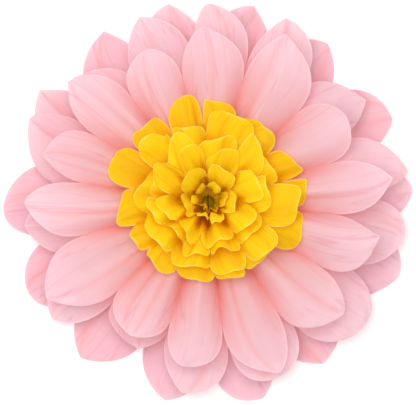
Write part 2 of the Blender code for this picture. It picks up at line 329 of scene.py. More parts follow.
@dataclass(frozen=True)
class TissueFinish:
    """Machine-made tissue of short fibres, dyed in the pulp, then pleated and fluffed by hand.

    The eye sees a matt, slightly cloudy sheet that light shines through. Each petal has its own
    tone, and painted shade deepens the colour in the gathers, between the petals and along the
    creases of the folding; on the pink, near the yellow centre, painted light bounced from the
    yellow warms it too. Painted light makes it paler at the tips, and a painted highlight palest at
    the thin rims. IOR and roughness are those of uncoated paper, and the gloss is low because the
    loose fibres scatter nearly all of it.
    """

    name: str
    face: str
    # Painted light, paler towards the tips
    tip: str
    # Each petal's own tone, and painted shade; on the pink also painted warm light from the yellow
    deep: str
    # Painted highlight on the thin rims, and the paler clouds of uneven dye
    rim: str
    glow: str
    # Painted shade in the sharp creases
    crease: str
    through: float = 0.55
    roughness: float = 0.88
    paper_ior: float = 1.5
    gloss: float = 0.1
    # Uneven dye, in soft clouds
    clouds: PaperPattern = PaperPattern(7.0, 1, 3, (0.3, 0.7), (0.0, 0.12))
    # Lines pressed in by the folding, a few millimetres apart and a petal long, darkened along
    # them as painted shade
    lines: PaperPattern = PaperPattern(2.2, 0.04, 2, (0.45, 0.75), (0.0, 0.1))
    line_bump: float = 0.35
    line_height: float = 0.4 * MM
    # Sharp creases, where a slow noise is close to its middle value, darkened as painted shade. A
    # real one is 0.1 mm wide, and it is drawn three times as wide to show.
    creases: PaperPattern = PaperPattern(9.0, 0.07, 1, (0.004, 0.016), (0.3, 0.0))
    # Felted fibres. Real ones are 0.03 mm thick, and they are drawn coarser to show.
    fibres: PaperPattern = PaperPattern(0.9, 0.5, 2)
    fibre_bump: float = 0.25
    fibre_height: float = 0.1 * MM

    def material(self) -> bpy.types.Material:
        """Makes the tissue's material, which reads the shares and the place on the paper.

        Returns:
            The material.
        """
        made = blank_material(self.name)
        tree = made.node_tree
        paper = add_node(tree, "Attribute", attribute_name="paper").outputs["Vector"]
        depth, rim, tip = (add_node(tree, "Attribute", attribute_name=name).outputs["Fac"]
                           for name in SHARES)
        clouds = self.clouds.value(tree, paper)
        lines = self.lines.value(tree, paper)
        off = self.off_middle(tree, self.creases.value(tree, paper))
        # The paper's colour with painted light at the tips, each petal's tone with painted shade,
        # paler clouds of uneven dye, painted shade along pressed lines and creases, and a painted
        # rim highlight
        colour = self.layered(tree, self.face, (
            (tip, self.tip), (depth, self.deep), (self.clouds.cover(tree, clouds), self.rim),
            (self.lines.cover(tree, lines), self.deep),
            (self.creases.cover(tree, off), self.crease), (rim, self.rim)))
        pressed = add_node(tree, "Bump", {"Strength": self.line_bump, "Height": lines,
                                          "Distance": self.line_height}).outputs[0]
        felt = add_node(tree, "Bump", {
            "Strength": self.fibre_bump, "Distance": self.fibre_height,
            "Height": self.fibres.value(tree, paper), "Normal": pressed}).outputs[0]
        front = add_node(tree, "BsdfPrincipled", {
            "Base Color": colour, "Roughness": self.roughness, "IOR": self.paper_ior,
            "Specular IOR Level": self.gloss, "Normal": felt})
        # The light shone through takes the same painted shade and painted rim highlight
        glow = self.layered(tree, self.glow, ((depth, self.deep), (rim, self.rim)))
        back = add_node(tree, "BsdfTranslucent", {"Color": glow, "Normal": felt})
        both = add_node(tree, "MixShader", {0: self.through, 1: front.outputs[0],
                                            2: back.outputs[0]})
        add_node(tree, "OutputMaterial", {0: both.outputs[0]})
        return made

    @staticmethod
    def off_middle(tree: bpy.types.NodeTree, noise: bpy.types.NodeSocket) -> bpy.types.NodeSocket:
        """How far a noise is from its middle value, up or down."""
        off = add_node(tree, "Math", {0: noise, 1: 0.5}, operation="SUBTRACT").outputs[0]
        return add_node(tree, "Math", {0: off}, operation="ABSOLUTE").outputs[0]

    @staticmethod
    def layered(tree: bpy.types.NodeTree, ground: str,
                layers: tuple[tuple[bpy.types.NodeSocket, str], ...]) -> bpy.types.NodeSocket:
        """Lays colours over a ground colour, one after the other.

        Args:
            tree: The material's node tree.
            ground: The hex colour at the bottom.
            layers: For each layer, the output with its share and its hex colour.

        Returns:
            The output with the colour that results.
        """
        colour = (*linear(ground), 1)
        for share, tint in layers:
            colour = add_node(tree, "Mix", {0: share, 6: colour, 7: (*linear(tint), 1)},
                              data_type="RGBA").outputs[2]
        return colour


@dataclass(frozen=True)
class WireFinish:
    """Tinned steel binding wire, drawn and then dulled by handling.

    The eye sees a satin grey metal, with patches where the tin has greyed a little more. Its grey
    is darker than dulled tin alone, as painted shade for the deep well that it lies in.
    """

    name: str = "tinned binding wire"
    # Dulled tin, darkened further as painted shade
    colour: str = "#5C564F"
    roughness: Range = (0.24, 0.44)
    patch_mm: float = 1.5
    patch_detail: float = 3.0

    def material(self) -> bpy.types.Material:
        """Makes the wire's material.

        Returns:
            The material.
        """
        made = blank_material(self.name)
        tree = made.node_tree
        where = add_node(tree, "TexCoord").outputs["Object"]
        tarnish = add_node(tree, "TexNoise", {
            "Vector": where, "Scale": 1 / (self.patch_mm * MM), "Detail": self.patch_detail})
        low, high = self.roughness
        rough = add_node(tree, "MapRange", {0: tarnish.outputs[0], 3: low, 4: high})
        shader = add_node(tree, "BsdfPrincipled", {
            "Base Color": (*linear(self.colour), 1), "Metallic": 1.0,
            "Roughness": rough.outputs[0]})
        add_node(tree, "OutputMaterial", {0: shader.outputs[0]})
        return made


# In each finish, tip is painted light, deep is each petal's own tone and painted shade (on the pink
# also painted warm light bounced from the yellow), rim a painted highlight, crease painted shade
PINK_TISSUE = TissueFinish(
    Tint.PINK.value, face="#F7E4EC", tip="#F5EAF2", deep="#FA9C90", rim="#FFF2F5",
    glow="#FCC4CE", crease="#DC8C9C")
YELLOW_TISSUE = TissueFinish(
    Tint.YELLOW.value, face="#FFF006", tip="#FFF01C", deep="#FFAE00", rim="#FFFC80",
    glow="#FFD600", crease="#E89C00")


@dataclass(frozen=True)
class SheetPlan:
    """How one sheet is folded and spread. Heights are in metres, slopes and lift in degrees.

    Its petals part at joined. Its pleats are as high as ridge. Each petal leans over by up to
    sway, cups at its edges by cup, curls at its tip by curl, ripples by ruffle, and is raised or
    lowered by lift. The form of its edges is drawn from pointed, and rim_highlight_share says how
    strongly its rims take a painted highlight.
    """

    name: str
    tint: Tint
    finish: TissueFinish
    rim_highlight_share: float
    tips: Tips
    slopes: Slopes
    pointed: Range
    seed: int
    joined: float
    ridge: float
    sway: float
    cup: float
    curl: float
    ruffle: float
    lift: float

    @property
    def petals(self) -> int:
        """How many petals the sheet has all round."""
        return len(self.tips)

    @property
    def yellow(self) -> bool:
        """Whether the sheet belongs to the centre."""
        return self.tint is Tint.YELLOW

    @cached_property
    def values(self) -> dict[str, np.ndarray]:
        """Draws what differs from petal to petal.

        Returns:
            By name, arrays with a value for each petal, and the first petal's again at the end.
        """
        dice = random.Random(self.seed)
        petals = []
        for i, (azimuth, length) in enumerate(self.tips):
            petal = {"root": SLIT_AZIMUTH + (i + 0.5) * 360 / self.petals, "tip": azimuth}
            petal["lift"] = math.radians(self.lift) * dice.uniform(-1, 1)
            petal["sway"] = self.sway * dice.uniform(-1, 1)
            petal["cup"] = self.cup * dice.uniform(*CUP_RANGE)
            petal["curl"] = self.curl * dice.uniform(0, 1)
            petal["crease"] = dice.uniform(*CREASE_RANGE)
            petal["phase"] = dice.uniform(0, 2 * math.pi)
            dent = max(0, dice.uniform(*DENT_RANGE))
            petal["dent"] = 0 if self.yellow else dent
            petal["bend"] = BEND * 360 / self.petals * dice.uniform(-1, 1)
            petal["length"] = length * MM
            if self.yellow:
                tip_slope = math.radians(self.slopes[-1])
                towards = math.cos(math.radians(azimuth - LEAN_AZIMUTH))
                petal["length"] += LEAN * math.cos(tip_slope) * towards
            petals.append(petal)
        again = dict(petals[0], root=petals[0]["root"] + 360, tip=petals[0]["tip"] + 360)
        petals.append(again)
        return {name: np.array([petal[name] for petal in petals]) for name in again}

    def axes_at(self, distance: np.ndarray) -> np.ndarray:
        """The azimuth of every petal's middle at each distance, the first again at the end."""
        spread = smoothstep(0, SPREAD_OVER, distance)[..., None]
        return self.values["root"] + (self.values["tip"] - self.values["root"]) * spread

    def own_elevation(self, distance: np.ndarray, azimuth: np.ndarray) -> np.ndarray:
        """The slope that the sheet would take with nothing below it.

        Args:
            distance: How far out each point lies.
            azimuth: Its direction in degrees.

        Returns:
            The elevations in radians.
        """
        values = self.values
        axes = self.axes_at(distance)
        azimuth = axes[:, 0] + np.mod(azimuth - axes[:, 0], 360)
        left = np.clip((axes <= azimuth[:, None]).sum(axis=1) - 1, 0, self.petals - 1)
        rows = np.arange(len(distance))
        part = (azimuth - axes[rows, left]) / (axes[rows, left + 1] - axes[rows, left])
        side = np.where(part < 0.5, 2 * part, 2 * part - 2)
        share = smoothstep(BLEND_FROM, BLEND_TO, part)

        def here(name: str) -> np.ndarray:
            """A petal value, blended between the two petals beside the point."""
            return values[name][left] * (1 - share) + values[name][left + 1] * share

        length = values["length"].max()
        run = np.clip(distance / length, 0, 1)
        slope = np.radians(ease_curve(self.slopes, run))
        if self.yellow:
            towards = np.cos(np.radians(azimuth - LEAN_AZIMUTH))
            slope = slope - angle_of(LEAN * run * np.sin(slope) * towards, distance, slope)
        opened = smoothstep(0, PLEAT_FULL_AT, run)
        free = smoothstep(PETAL_FROM * self.joined, length, distance)
        round_pleat = np.cos(side * math.pi / 2)
        sharp_pleat = 1 - np.abs(side)
        pleat = round_pleat + (sharp_pleat - round_pleat) * here("crease")
        pleat = pleat - here("dent") * np.maximum(0, 1 - np.abs(side) / DENT_HALF_WIDTH)
        wave = np.sin(2 * math.pi * distance / RUFFLE_LENGTH + here("phase"))
        height = self.ridge * opened * (pleat - PLEAT_MEAN)
        height = height + here("sway") * np.sin(side * math.pi) * opened
        height = height + here("cup") * np.abs(side) * free + here("curl") * free**2
        height = height + self.ruffle * np.abs(side) * wave * free
        lift = here("lift") * smoothstep(LIFT_FROM, 1, run)
        return np.minimum(slope + lift + angle_of(height, distance, slope), STEEPEST)

    def free_share(self, petal: int, distance: np.ndarray) -> np.ndarray:
        """How far a petal has run along its free part, from 0 to 1."""
        share = (distance - self.joined) / (self.values["length"][petal] - self.joined)
        return np.clip(np.round(share, SHARE_DIGITS), 0, 1)

    def petal_middle(self, petal: int, distance: np.ndarray) -> np.ndarray:
        """The azimuth of a petal's middle line, which bends to one side towards the tip."""
        bend = self.values["bend"][petal] * self.free_share(petal, distance) ** 2
        return self.axes_at(distance)[:, petal] + bend

    def petal_edge(self, petal: int, way: int, distance: np.ndarray,
                   pointed: float) -> np.ndarray:
        """The azimuth of one of a petal's edges at each distance.

        Args:
            petal: The petal's number.
            way: -1 for the left edge, 1 for the right one.
            distance: How far out each point lies.
            pointed: How much of a point the edge runs to: 0.25 is blunt, 1 is a sharp tip.

        Returns:
            The azimuths in degrees.
        """
        axes = self.axes_at(distance)
        limit = (axes[:, petal] + axes[:, petal + way]) / 2
        if petal + way < 0:
            limit = (axes[:, 0] + axes[:, self.petals - 1] - 360) / 2
        narrowed = (1 - self.free_share(petal, distance) ** TIP_ROUNDNESS) ** pointed
        middle = self.petal_middle(petal, distance)
        return middle + (limit - middle) * narrowed


def even_tips(petals: int, length: float, turn: float, seed: int) -> Tips:
    """Petals spread evenly with a little disorder.

    Args:
        petals: How many.
        length: Their common length in mm.
        turn: How far the first lies from the slit, in degrees.
        seed: What the disorder is drawn from.

    Returns:
        Each petal's azimuth in degrees and length in mm.
    """
    dice = random.Random(seed)
    step = 360 / petals
    tips = []
    for i in range(petals):
        shift = dice.uniform(-AZIMUTH_DISORDER, AZIMUTH_DISORDER)
        azimuth = SLIT_AZIMUTH + turn + (i + 0.5 + shift) * step
        tips.append((azimuth, length * dice.uniform(*LENGTH_RANGE)))
    return tuple(tips)


def pink_plan(number: int, tips: Tips, slopes: Slopes, face: str, **folding: float) -> SheetPlan:
    """The plan of a pink sheet.

    Args:
        number: The sheet's number, lowest first.
        tips: Each petal's azimuth in degrees and length in mm.
        slopes: The four controls of its slope from the tie to the tips, in degrees.
        face: The hex colour of its open paper, a little darker on the lower sheets as painted
            shade.
        **folding: The other values of the plan, from where its petals part to their lift.

    Returns:
        The plan.
    """
    finish = replace(PINK_TISSUE, name=f"{PINK_TISSUE.name} {number}", face=face)
    return SheetPlan(f"pink_sheet_{number}", Tint.PINK, finish, rim_highlight_share=0.3, tips=tips,
                     slopes=slopes, pointed=(0.42, 1.05), seed=PINK_SEED + number, **folding)


def yellow_plan(number: int, petals: int, length: float, turn: float, slopes: Slopes,
                colours: tuple[str, str], **folding: float) -> SheetPlan:
    """The plan of a sheet of the centre, whose petals are spread evenly.

    Args:
        number: The sheet's number, outermost first.
        petals: How many petals it has all round.
        length: Their common length in mm.
        turn: How far the first lies from the slit, in degrees.
        slopes: The four controls of its slope from the tie to the tips, in degrees.
        colours: The hex colours of its open paper and of its deep tone and painted shade, both
        darker on the outer, lower sheets as painted shade and brighter inwards as painted light.
        **folding: The other values of the plan, from where its petals part to their lift.

    Returns:
        The plan.
    """
    seed = YELLOW_SEED + number
    finish = replace(YELLOW_TISSUE, name=f"{YELLOW_TISSUE.name} {number}", face=colours[0],
                     deep=colours[1])
    return SheetPlan(f"yellow_sheet_{number}", Tint.YELLOW, finish, rim_highlight_share=0.8,
                     tips=even_tips(petals, length, turn, seed), slopes=slopes,
                     pointed=(0.25, 0.5), seed=seed, **folding)


# Each sheet's paper colour is painted light and shade: darker on the lower pink sheets and the
# outer yellow ones, brighter on the inner yellow ones
PLANS = (
    pink_plan(1, PINK_TIPS_1, (8, 12, -6, -3), "#F6DCE5", joined=104 * MM, ridge=8 * MM,
              sway=2 * MM, cup=8 * MM, curl=4 * MM, ruffle=1 * MM, lift=1.0),
    pink_plan(2, PINK_TIPS_2, (10, 24, 4, 3), "#F7E4EC", joined=98 * MM, ridge=10 * MM,
              sway=3 * MM, cup=9 * MM, curl=4 * MM, ruffle=1 * MM, lift=1.5),
    pink_plan(3, PINK_TIPS_3, (12, 36, 17, 12), "#F7ECF2", joined=90 * MM, ridge=12 * MM,
              sway=4 * MM, cup=9 * MM, curl=3 * MM, ruffle=1 * MM, lift=3.0),
    yellow_plan(1, 14, 80, 3, (12, 38, 42, 24), ("#FFD00C", "#FF9E00"), joined=62 * MM,
                ridge=8 * MM, sway=5 * MM, cup=6 * MM, curl=-5 * MM, ruffle=3 * MM, lift=4.0),
    yellow_plan(2, 10, 77, -6, (15, 46, 50, 36), ("#FFE408", "#FFA800"), joined=58 * MM,
                ridge=9 * MM, sway=6 * MM, cup=7 * MM, curl=-8 * MM, ruffle=3.5 * MM, lift=5.0),
    yellow_plan(3, 10, 72, 8, (18, 55, 60, 45), ("#FFF006", "#FFAE00"), joined=54 * MM,
                ridge=9 * MM, sway=6 * MM, cup=8 * MM, curl=-9 * MM, ruffle=3.5 * MM, lift=5.0),
    yellow_plan(4, 8, 66, -4, (20, 62, 69, 54), ("#FFF806", "#FFC000"), joined=48 * MM,
                ridge=9 * MM, sway=5 * MM, cup=8 * MM, curl=-9 * MM, ruffle=3.5 * MM, lift=4.0),
    yellow_plan(5, 6, 58, 5, (22, 67, 79, 68), ("#FFFA08", "#FFDA00"), joined=41 * MM,
                ridge=6 * MM, sway=2 * MM, cup=6 * MM, curl=-6 * MM, ruffle=2 * MM, lift=4.0),
    yellow_plan(6, 6, 50, 0, (24, 72, 81, 75), ("#FFFC08", "#FFE000"), joined=32 * MM,
                ridge=4 * MM, sway=3 * MM, cup=4 * MM, curl=-5 * MM, ruffle=2 * MM, lift=6.0),
)


@dataclass(frozen=True)
class Nest:
    """The sheets lying in each other, lowest first, and on the ground."""

    plans: tuple[SheetPlan, ...]

    @staticmethod
    def rest_on(own: np.ndarray, support: np.ndarray, gap: Numbers,
                distance: np.ndarray) -> np.ndarray:
        """The higher of a sheet's own slope and what lies below it, with a soft change over.

        Args:
            own: The sheet's own elevations in radians.
            support: The elevations of what lies below it.
            gap: How far apart the two stay.
            distance: How far out each point lies.

        Returns:
            The elevations that the sheet takes.
        """
        least = support + angle_of(gap, distance, support)
        soft = angle_of(DRAPE_SOFTNESS * smoothstep(0, OPEN_FROM, distance), distance, support)
        return (own + least + np.sqrt((own - least) ** 2 + soft**2)) / 2

    def elevation(self, index: int, distance: np.ndarray, azimuth: np.ndarray) -> np.ndarray:
        """The slope of a sheet lying on the sheets below it and on the ground.

        Args:
            index: The sheet's number from below.
            distance: How far out each point lies.
            azimuth: Its direction in degrees.

        Returns:
            The elevations in radians.
        """
        own = self.plans[index].own_elevation(distance, azimuth)
        if index == 0:
            drop = PAPER_THICKNESS / 2 - TIE_HEIGHT
            return self.rest_on(own, drop / (TIE_CLIMB + distance), 0, distance)
        below = self.elevation(index - 1, distance, azimuth)
        opened = smoothstep(0, OPEN_FROM, distance)
        clearance = CLEARANCE_AT_TIE + (CLEARANCE_OPEN - CLEARANCE_AT_TIE) * opened
        return self.rest_on(own, below, PAPER_THICKNESS + clearance, distance)

    def slope_at_tie(self, index: int) -> float:
        """The slope with which a sheet leaves the tie, in radians."""
        return float(self.elevation(index, np.zeros(1), np.zeros(1))[0])

    @cached_property
    def shift(self) -> float:
        """Reads at the middle of the tie how far the solids were moved to touch the floor.

        Returns:
            The distance upwards.
        """
        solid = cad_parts[self.plans[0].name].data
        heights = [v.co.z for v in solid.vertices if v.co.xy.length < HUB_RADIUS]
        hub = place(0.0, 0.0, self.slope_at_tie(0))[2]
        return sum(heights) / len(heights) - float(hub)


@dataclass(frozen=True)
class PetalGrid:
    """The points of one petal, with its columns along the first axis and its rows out from the tie.

    run is how far out a point lies, side goes from -1 at the left edge to 1 at the right one, and
    azimuth is in degrees. half_width is from the petal's middle line to the edge on that side,
    and edge is how far a point lies from the nearest free edge.
    """

    number: int
    length: float
    run: np.ndarray
    side: np.ndarray
    azimuth: np.ndarray
    half_width: np.ndarray
    edge: np.ndarray


@dataclass
class TissueSheet:
    """One sheet of tissue as a fine surface, folded as its plan says."""

    nest: Nest
    index: int
    # Grid of each petal, its columns crowded towards the edges
    columns: int = 33
    crowding: float = 0.85
    joined_rows: int = 30
    free_rows: int = 22
    # Crumples all over the sheet
    crumple: float = 0.35 * MM
    crumple_mm: Range = (9.0, 34.0)
    crumple_waves: int = 14
    # Lines pressed in along each petal: places and widths are shares of half its width
    pleat_lines: int = 4
    pleat_line: float = 0.22 * MM
    pleat_line_depths: Range = (0.4, 1.0)
    pleat_line_span: float = 0.85
    pleat_line_width: float = 0.05
    # Folds, up or down
    folds: int = 2
    fold: float = 1.4 * MM
    fold_heights: Range = (0.5, 1.0)
    fold_span: float = 0.6
    fold_reach: Range = (0.2, 0.42)
    # Rims, which roll up more often than down, and are whole from this share of the free part on
    rim_width: float = 1.7 * MM
    rim_roll: float = 0.6 * MM
    rim_ways: tuple[float, ...] = (-0.6, 1, 1)
    rim_from: float = 0.15
    # How far before its tip a petal's relief begins to end
    tip_closes: float = 4 * MM
    # Gathers round the tie, which swing a little to the side
    relief_starts: Range = (5 * MM, 20 * MM)
    gathers: int = 56
    gather: float = 0.3 * MM
    gather_swings: int = 3
    gather_swing: float = 1 / 9
    gathered_to: Range = (14 * MM, 42 * MM)
    # Slit between the half fans, closed by the paper's own spring away from the wire
    slit_closes: Range = (8 * MM, 22 * MM)
    slit_left: float = 0.08 * MM

    @property
    def plan(self) -> SheetPlan:
        """How the sheet is folded."""
        return self.nest.plans[self.index]

    @property
    def valley_shade_reach(self) -> Range:
        """Where the painted shade of the valleys between the petals begins to fade, and ends."""
        return (16 * MM, 60 * MM) if self.plan.yellow else (60 * MM, 130 * MM)

    @property
    def tie_shade_reach(self) -> Range:
        """Where the painted shade near the tie ends: full up to the first, none past the second."""
        # On the pink this painted shade also stands for warm light bounced from the yellow
        return (4 * MM, 30 * MM) if self.plan.yellow else (40 * MM, 118 * MM)

    @cached_property
    def sides(self) -> np.ndarray:
        """Where the columns lie between a petal's edges, from -1 to 1."""
        spread = np.sin(np.linspace(-1, 1, self.columns) * math.pi / 2 * self.crowding)
        return spread / spread[-1]

    def rows(self, length: float) -> np.ndarray:
        """Distances of a petal's points from the tie.

        Args:
            length: The petal's length.

        Returns:
            The distances: first in the tie, then joined to the next petals, then free.
        """
        slope = self.nest.slope_at_tie(self.index)
        neck = NECK_RADIUS / math.cos(slope)
        slit_start = (NECK_RADIUS - SLIT_TAPER) / math.cos(slope)
        joined = neck + (self.plan.joined - neck) * np.linspace(0, 1, self.joined_rows + 1)[1:]
        quarter = np.linspace(0, math.pi / 2, self.free_rows + 1)[1:]
        free = self.plan.joined + (length - self.plan.joined) * np.sin(quarter)
        return np.concatenate([[0, slit_start, neck], joined, free])

    def slit(self, distance: np.ndarray) -> np.ndarray:
        """How far a half fan's edge keeps from the slit plane.

        Args:
            distance: How far out each point lies.

        Returns:
            The angles in degrees.
        """
        across = np.maximum(distance * math.cos(self.nest.slope_at_tie(self.index)), MM)
        opened = smoothstep(NECK_RADIUS - SLIT_TAPER, NECK_RADIUS, across)
        closed = smoothstep(*self.slit_closes, across)
        width = (WIRE_DIAMETER / 2 + WIRE_CLEARANCE) * (1 - closed) + self.slit_left * closed
        return np.degrees(width / across) * opened

    def petal_grid(self, petal: int, dice: random.Random) -> PetalGrid:
        """Lays out one petal's points on the paper.

        Args:
            petal: The petal's number.
            dice: What the shapes of its two edges are drawn from.

        Returns:
            The grid.
        """
        plan = self.plan
        length = plan.values["length"][petal]
        distance = self.rows(length)
        middle = plan.petal_middle(petal, distance)
        edges = {way: plan.petal_edge(petal, way, distance, dice.uniform(*plan.pointed))
                 for way in (-1, 1)}
        half = plan.petals // 2
        if petal in (0, half):
            edges[-1] = edges[-1] + self.slit(distance)
        if petal in (half - 1, plan.petals - 1):
            edges[1] = edges[1] - self.slit(distance)
        side = np.repeat(self.sides[:, None], len(distance), axis=1)
        reach = np.where(side > 0, edges[1] - middle, middle - edges[-1])
        run = np.broadcast_to(distance, side.shape)
        half_width = np.radians(reach) * run
        free = np.clip((run - plan.joined) / (length - plan.joined), 0, 1)
        edge = np.minimum(half_width * (1 - np.abs(side)), length - run)
        # The rim fades in where the petals part, and further in the nearest free edge is far off
        edge = edge + (1 - smoothstep(0, self.rim_from, free)) * 3 * self.rim_width
        edge = np.where(free > 0, edge, length)
        return PetalGrid(petal, length, run, side, middle + reach * side, half_width, edge)

    @cached_property
    def waves(self) -> tuple[np.ndarray, ...]:
        """Draws the waves that the crumples are summed from.

        Returns:
            For all of them, the wave numbers along x and along y, and the phases.
        """
        dice = np.random.default_rng(self.plan.seed)
        low, high = self.crumple_mm
        lengths = dice.uniform(low, high, self.crumple_waves) * MM
        turns = dice.uniform(0, 2 * math.pi, self.crumple_waves)
        number = 2 * math.pi / lengths
        phases = dice.uniform(0, 2 * math.pi, self.crumple_waves)
        return number * np.cos(turns), number * np.sin(turns), phases

    def pressed(self, grid: PetalGrid) -> tuple[np.ndarray, np.ndarray]:
        """The lines, folds and rolled rim that the folding left in a petal.

        Args:
            grid: The petal's points.

        Returns:
            Heights in metres, and the share of painted shade at each point in a fold that goes
            down, from 0 to 1.
        """
        dice = random.Random(self.plan.seed * PETAL_SEEDS + grid.number)
        height = np.zeros_like(grid.run)
        fold_and_gather_shade = np.zeros_like(grid.run)
        inwards = 1 - grid.side**4
        for _ in range(self.pleat_lines):
            where = dice.uniform(-self.pleat_line_span, self.pleat_line_span)
            depth = self.pleat_line * dice.uniform(*self.pleat_line_depths)
            line = np.exp(-np.abs(grid.side - where) / self.pleat_line_width)
            height = height - depth * line * inwards
        for _ in range(self.folds):
            where = dice.uniform(-self.fold_span, self.fold_span)
            rise = self.fold * dice.choice((-1, 1)) * dice.uniform(*self.fold_heights)
            reach = dice.uniform(*self.fold_reach)
            inside = np.maximum(0, 1 - np.abs(grid.side - where) / reach) * inwards
            height = height + rise * inside
            # Painted shade lies in the folds that go down
            fold_and_gather_shade = np.maximum(fold_and_gather_shade, inside**2 if rise < 0 else 0)
        rolled = (1 - smoothstep(0, self.rim_width, grid.edge)) ** 2
        height = height + self.rim_roll * dice.choice(self.rim_ways) * rolled
        # All columns meet in the tip, so what differs between them ends before it
        return height * smoothstep(0, self.tip_closes, grid.length - grid.run), fold_and_gather_shade

    def relief(self, grid: PetalGrid) -> tuple[np.ndarray, np.ndarray]:
        """The fine relief of a petal: crumples, what the folding pressed in, and the gathers.

        Args:
            grid: The petal's points.

        Returns:
            Heights in metres, and the share of painted shade at each point in a fold that goes
            down or between the gathers, from 0 to 1.
        """
        kx, ky, phase = self.waves
        turn = np.radians(grid.azimuth)
        x, y = grid.run * np.cos(turn), grid.run * np.sin(turn)
        wave = np.sin(kx * x[..., None] + ky * y[..., None] + phase)
        crumpled = self.crumple * wave.sum(axis=-1) / math.sqrt(self.crumple_waves)
        pressed, fold_and_gather_shade = self.pressed(grid)
        gathered = 1 - smoothstep(*self.gathered_to, grid.run)
        swing = self.gather_swing * np.sin(self.gather_swings * turn)
        stripes = np.cos(self.gathers * (turn + swing))
        height = crumpled + pressed + self.gather * stripes * gathered
        # Painted shade lies in the grooves between the gathers
        fold_and_gather_shade = np.maximum(fold_and_gather_shade, gathered * (0.5 - 0.5 * stripes))
        return height * smoothstep(*self.relief_starts, grid.run), fold_and_gather_shade

    def shades(self, grid: PetalGrid, fold_and_gather_shade: np.ndarray,
               tint: random.Random) -> dict[str, np.ndarray]:
        """What the finish reads at each point of a petal.

        Args:
            grid: The petal's points.
            fold_and_gather_shade: How much painted shade each of them takes, in folds that go down
                and between
            gathers.
            tint: What the petal's own tone and paleness are drawn from.

        Returns:
            For depth (each petal's own tone and painted shade), rim (a painted highlight) and tip
            (painted light, over each petal's own paleness) a share from 0 to 1, and for paper the
            flat coordinates.
        """
        tone = TONE_SHARE * tint.random()
        pale = PALE_SHARE * tint.random()
        # Painted shade towards the tie, on the pink also painted warm light bounced from the
        # yellow, and painted shade between the petals and in folds and gathers
        tie_shade = 1 - smoothstep(*self.tie_shade_reach, grid.run)
        valley_shade = 1 - smoothstep(*self.valley_shade_reach, grid.run)
        valley_shade = valley_shade * np.abs(grid.side) ** VALLEY_SHADE_SHARPNESS
        depth = tone + TIE_SHADE * tie_shade + VALLEY_SHADE * valley_shade
        depth = depth + (CREASE_SHADE_AT_TIE * tie_shade + CREASE_SHADE) * fold_and_gather_shade
        # Painted highlight along the thin rims
        rim = self.plan.rim_highlight_share * (1 - smoothstep(0, self.rim_width, grid.edge))
        # Painted light towards the tips
        tip_light = smoothstep(TIP_FROM, 1.0, grid.run / grid.length)
        across = grid.half_width * grid.side + grid.number * PATCH_ACROSS
        deep = np.full(grid.run.shape, grid.number * PATCH_DEEP)
        return {
            "depth": np.clip(depth, 0, 1).ravel(),
            "rim": rim.ravel(),
            "tip": (pale + (PAINTED_TIP_LIGHT - pale) * tip_light).ravel(),
            "paper": np.stack([across, grid.run, deep], -1).reshape(-1, 3),
        }

    def quads(self, start: int, rows: int) -> list[tuple[int, ...]]:
        """The faces of one petal.

        Args:
            start: The number of its first point.
            rows: How many points each of its columns has.

        Returns:
            The four points of each face.
        """
        corners = []
        for column in range(self.columns - 1):
            for row in range(rows - 1):
                a = start + column * rows + row
                corners.append((a, a + 1, a + rows + 1, a + rows))
        return corners

    def surface(self) -> tuple[np.ndarray, dict[str, np.ndarray], list[tuple[int, ...]]]:
        """Works out the whole sheet.

        Returns:
            Its points, what its finish reads at each of them, and its faces.
        """
        edge_dice = random.Random(f"{self.plan.name} edges")
        tint = random.Random(f"{self.plan.name} tint")
        points, reads, faces = [], [], []
        count = 0
        for petal in range(self.plan.petals):
            grid = self.petal_grid(petal, edge_dice)
            slope = self.nest.elevation(self.index, grid.run.ravel(), grid.azimuth.ravel())
            slope = slope.reshape(grid.run.shape)
            height, fold_and_gather_shade = self.relief(grid)
            slope = slope + angle_of(height, grid.run, slope)
            points.append(place(grid.run, grid.azimuth, slope).reshape(-1, 3))
            reads.append(self.shades(grid, fold_and_gather_shade, tint))
            faces += self.quads(count, grid.run.shape[1])
            count += grid.run.size
        points = np.concatenate(points)
        points[:, 2] = np.maximum(points[:, 2] + self.nest.shift, LEAST_HEIGHT)
        return points, {name: np.concatenate([read[name] for read in reads])
                        for name in reads[0]}, faces

    def mesh(self) -> bpy.types.Mesh:
        """Makes the sheet's mesh, with the petals joined where their edges meet.

        Returns:
            The mesh, with what the finish reads as its attributes.
        """
        points, reads, faces = self.surface()
        mesh = bpy.data.meshes.new(self.plan.name + "_paper")
        mesh.from_pydata(points, [], faces)
        for name in SHARES:
            mesh.attributes.new(name, "FLOAT", "POINT").data.foreach_set("value", reads[name])
        corners = np.empty(len(mesh.loops), dtype=np.int32)
        mesh.loops.foreach_get("vertex_index", corners)
        flat = mesh.attributes.new("paper", "FLOAT_VECTOR", "CORNER")
        flat.data.foreach_set("vector", reads["paper"][corners].ravel())
        joined = bmesh.new()
        joined.from_mesh(mesh)
        bmesh.ops.remove_doubles(joined, verts=joined.verts, dist=WELD_DISTANCE)
        joined.to_mesh(mesh)
        joined.free()
        mesh.shade_smooth()
        return mesh

    def build(self) -> bpy.types.Object:
        """Makes the sheet and dresses it.

        Returns:
            The sheet's object.
        """
        plan = self.plan
        mesh = self.mesh()
        mesh.materials.append(plan.finish.material())
        made = add_object(plan.name + "_paper", mesh)
        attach(made, "root")
        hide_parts(plan.name)
        LOG.info("%s: %d petals, %d faces", made.name, plan.petals, len(mesh.polygons))
        return made


